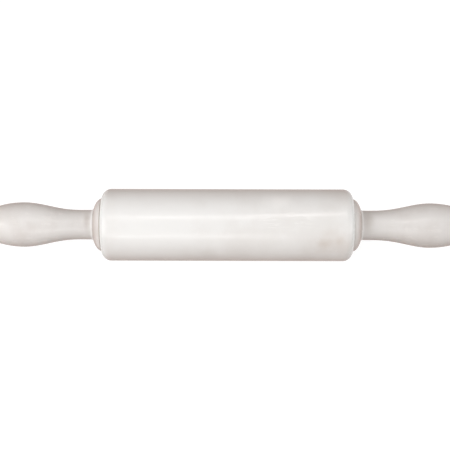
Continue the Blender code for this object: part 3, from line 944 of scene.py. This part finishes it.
def sink(mesh, place_in_waves):
    """Lets the outside of the neck and the swell wave in and out, as a thick wall does in cooling."""
    mesh.normal_update()
    for corner in mesh.verts:
        radius = math.hypot(corner.co.y, corner.co.z)
        beyond_collar = (corner.co.x - collar_x - NECK_LENGTH * SINK_START) / NECK_LENGTH
        before_plug = (handle_open_x - corner.co.x) / NECK_LENGTH
        if radius > CORE_RADIUS + CORE_CHAMFER and beyond_collar > 0 and before_plug > 0:
            share = min(beyond_collar, before_plug, 1)
            depth = noise.noise(corner.co / SINK_SIZE + place_in_waves) * SINK_DEPTH * share
            corner.co += corner.normal * depth


handle_plastic, tree, shader, surface = white_plastic(
    "handle_plastic",
    clean=HANDLE_COLOUR,
    cloudy=HANDLE_STAIN,
    cloud_size=34.0,
    roughness=HANDLE_ROUGHNESS,
    waves={"Waves Along": 70.0, "Waves Round": 110.0, "Lines": 0.10, "Skin": 0.01},
    wave_height=0.00020,
    joint_x=-collar_x,
)[:4]
# Lays the painted shade on the necks over the handle's colour.
with_painted_neck_shade = with_spots(tree, surface.outputs["Color"], NECK_PAINTED_SHADE_SPOTS, NECK_PAINTED_SHADE_COLOUR)
tree.links.new(with_painted_neck_shade, shader.inputs["Base Color"])
# Painted light: a thinner skin lifts the shade in the corner between each collar and its neck.
lift_shade_with_thin_skin(tree, shader, collar_dome(collar_x)[-1][0], CORNER_REACH, CORNER_LIGHTENING_SKIN)

for side in ("right", "left"):
    face_x = collar_x - SEAM_CLOSED_UP[side]
    grip_mesh = turned(handle_outline(face_x), HANDLE_STEPS)
    round_ring(grip_mesh, (face_x, collar_radius), COLLAR_EDGE_ROUNDING[side], segments=3)
    round_ring(grip_mesh, collar_dome(face_x)[-1], COLLAR_FILLET, segments=8)
    sink(grip_mesh, SINK_PLACES[side])
    grip_mesh = to_end(side, grip_mesh)
    place(f"{side}_grip", grip_mesh, handle_plastic, "spindle", f"{side}_handle")


# Flat washers
# A plain zinc-plated steel washer lies on the floor of each handle's core, and spreads the nut's load
# over the plastic.
ZINC_COLOUR = (0.64, 0.66, 0.68, 1)
ZINC_DULL = (0.50, 0.51, 0.52, 1)
ZINC_ROUGHNESS = 0.32

flat_low, flat_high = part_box("right_flat_washer")
flat_outline = ring_outline(flat_low.x, flat_high.x, rod_hole, flat_high.z)
zinc_plate = bright_steel(
    "plated_steel", ZINC_COLOUR, ZINC_DULL, ZINC_ROUGHNESS, along=900.0, across=900.0
)
for side in ("right", "left"):
    flat_mesh = turned(flat_outline, BEARING_STEPS)
    round_corners(flat_mesh, WASHER_EDGE_ROUNDING, segments=3)
    flat_mesh = to_end(side, flat_mesh)
    place(f"{side}_plain_washer", flat_mesh, zinc_plate, "spindle", f"{side}_flat_washer")


# Lock nuts
# A six-sided zinc-plated nut with a round locking collar holds each handle against the rod's shoulder.
# Its corners are chamfered at both ends, and its thread runs right through.
NUT_SIDES = 6
NUT_FLAT_RADIUS = 0.0065
NUT_HEX_HEIGHT = 0.0065
NUT_COLLAR_WALL = 0.0016
NUT_CHAMFER = 0.0008
TRIM_MARGIN = 0.0003

nut_low, nut_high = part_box("right_lock_nut")
nut_corner_radius = NUT_FLAT_RADIUS / math.cos(math.pi / NUT_SIDES)


def nut_form_outline():
    """The turned form that trims a six-sided bar to a nut: chamfers, the round collar and the bore."""
    hex_end_x = nut_low.x + NUT_HEX_HEIGHT
    collar = rod_hole + NUT_COLLAR_WALL
    beyond_x = nut_high.x + TRIM_MARGIN
    bore = threaded_length(nut_low.x - TRIM_MARGIN, beyond_x, rod_hole)
    return list(reversed(bore)) + [
        (nut_low.x - TRIM_MARGIN, NUT_FLAT_RADIUS),
        (nut_low.x, NUT_FLAT_RADIUS),
        (nut_low.x + NUT_CHAMFER, nut_corner_radius + TRIM_MARGIN),
        (hex_end_x - NUT_CHAMFER, nut_corner_radius + TRIM_MARGIN),
        (hex_end_x, NUT_FLAT_RADIUS - NUT_CHAMFER / 2),
        (hex_end_x, collar),
        (nut_high.x - NUT_CHAMFER / 2, collar),
        (nut_high.x, collar - NUT_CHAMFER / 2),
        (beyond_x, collar - NUT_CHAMFER / 2),
    ]


def nut_bar(length):
    """A solid six-sided bar, which becomes the nut."""
    mesh = bmesh.new()
    bmesh.ops.create_circle(mesh, cap_ends=True, radius=nut_corner_radius, segments=NUT_SIDES)
    bmesh.ops.rotate(mesh, verts=mesh.verts[:], matrix=Matrix.Rotation(math.pi / 2, 3, "Y"))
    made = bmesh.ops.extrude_face_region(mesh, geom=mesh.faces[:])
    far_end = [v for v in made["geom"] if isinstance(v, bmesh.types.BMVert)]
    bmesh.ops.translate(mesh, verts=far_end, vec=(length, 0, 0))
    bmesh.ops.translate(mesh, verts=mesh.verts[:], vec=(nut_low.x, 0, 0))
    bmesh.ops.recalc_face_normals(mesh, faces=mesh.faces[:])
    return mesh


def trimmed(mesh, form):
    """The part of one mesh that lies inside another."""
    pair = []
    for shape in (mesh, form):
        data = bpy.data.meshes.new("trim")
        shape.to_mesh(data)
        shape.free()
        pair.append(bpy.data.objects.new("trim", data))
        bpy.context.collection.objects.link(pair[-1])
    cut = pair[0].modifiers.new("trim", "BOOLEAN")
    cut.operation = "INTERSECT"
    cut.object = pair[1]
    result = bmesh.new()
    result.from_object(pair[0], bpy.context.evaluated_depsgraph_get())
    for used in pair:
        bpy.data.objects.remove(used)
    bmesh.ops.remove_doubles(result, verts=result.verts[:], dist=SAME_PLACE)
    bmesh.ops.recalc_face_normals(result, faces=result.faces[:])
    return result


for side in ("right", "left"):
    form_mesh = turned(nut_form_outline(), BEARING_STEPS)
    nut_mesh = to_end(side, trimmed(nut_bar(nut_high.x - nut_low.x), form_mesh))
    start_x, end_x = (nut_low.x, nut_high.x) if side == "right" else (-nut_high.x, -nut_low.x)
    cut_thread(nut_mesh, start_x - THREAD_PITCH, end_x + THREAD_PITCH, rod_hole)
    place(f"{side}_nut", nut_mesh, zinc_plate, "spindle", f"{side}_lock_nut")


# End plugs
# A hollow plug is pressed into the open end of each handle and carries its rounded end on. The small
# dimple at its tip is where the plastic was fed into the mould.
PLUG_WALL = 0.0025
PLUG_DOME_STEPS = 40
GATE_RADIUS = 0.0016
GATE_DEPTH = 0.0003
GATE_EDGE_SHARE = 0.2

plug_low, plug_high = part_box("right_end_plug")
plug_tip_x = plug_high.x


def plug_outline():
    """The plug's section, from axis to axis: hollow, spigot in the core's mouth, dome and dimple."""
    swell_x = collar_x + SWELL_CENTRE
    rim_x = handle_open_x + JOINT_GAP
    rim_angle = math.asin((rim_x - swell_x) / end_curve_length)
    dome = arc(swell_x, 0, end_curve_length, SWELL_RADIUS, rim_angle, math.pi / 2, PLUG_DOME_STEPS)
    dome = [(x, r) for x, r in dome if r > GATE_RADIUS * (1 + GATE_EDGE_SHARE)]
    gate = [
        (plug_tip_x - GATE_DEPTH * GATE_EDGE_SHARE, GATE_RADIUS),
        (plug_tip_x - GATE_DEPTH, GATE_RADIUS * (1 - GATE_EDGE_SHARE)),
        (plug_tip_x - GATE_DEPTH, 0),
    ]
    inner_length = end_curve_length - PLUG_WALL
    inner_radius = SWELL_RADIUS - PLUG_WALL
    spigot_radius = CORE_RADIUS - JOINT_GAP
    spigot_hollow = spigot_radius - PLUG_WALL
    hollow_end = math.acos(spigot_hollow / inner_radius)
    hollow = arc(swell_x, 0, inner_length, inner_radius, math.pi / 2, hollow_end, DOME_STEPS)
    hollow = [(hollow[0][0], 0)] + hollow[1:]
    spigot = [
        (plug_low.x, spigot_hollow),
        (plug_low.x, spigot_radius - CORE_CHAMFER),
        (plug_low.x + CORE_CHAMFER, spigot_radius),
        (rim_x, spigot_radius),
    ]
    return hollow + spigot + dome + gate


plug_plastic = white_plastic(
    "plug_plastic",
    clean=HANDLE_COLOUR,
    cloudy=HANDLE_STAIN,
    cloud_size=60.0,
    roughness=HANDLE_ROUGHNESS,
    waves={"Waves Along": 90.0, "Waves Round": 90.0, "Lines": 0.0, "Skin": 0.01},
    wave_height=0.00007,
    joint_x=-handle_open_x,
)[0]

for side in ("right", "left"):
    plug_mesh = turned(plug_outline(), HANDLE_STEPS, closed=False)
    round_corners(plug_mesh, CUT_EDGE_ROUNDING)
    plug_mesh = to_end(side, plug_mesh)
    place(f"{side}_plug", plug_mesh, plug_plastic, "spindle", f"{side}_end_plug")
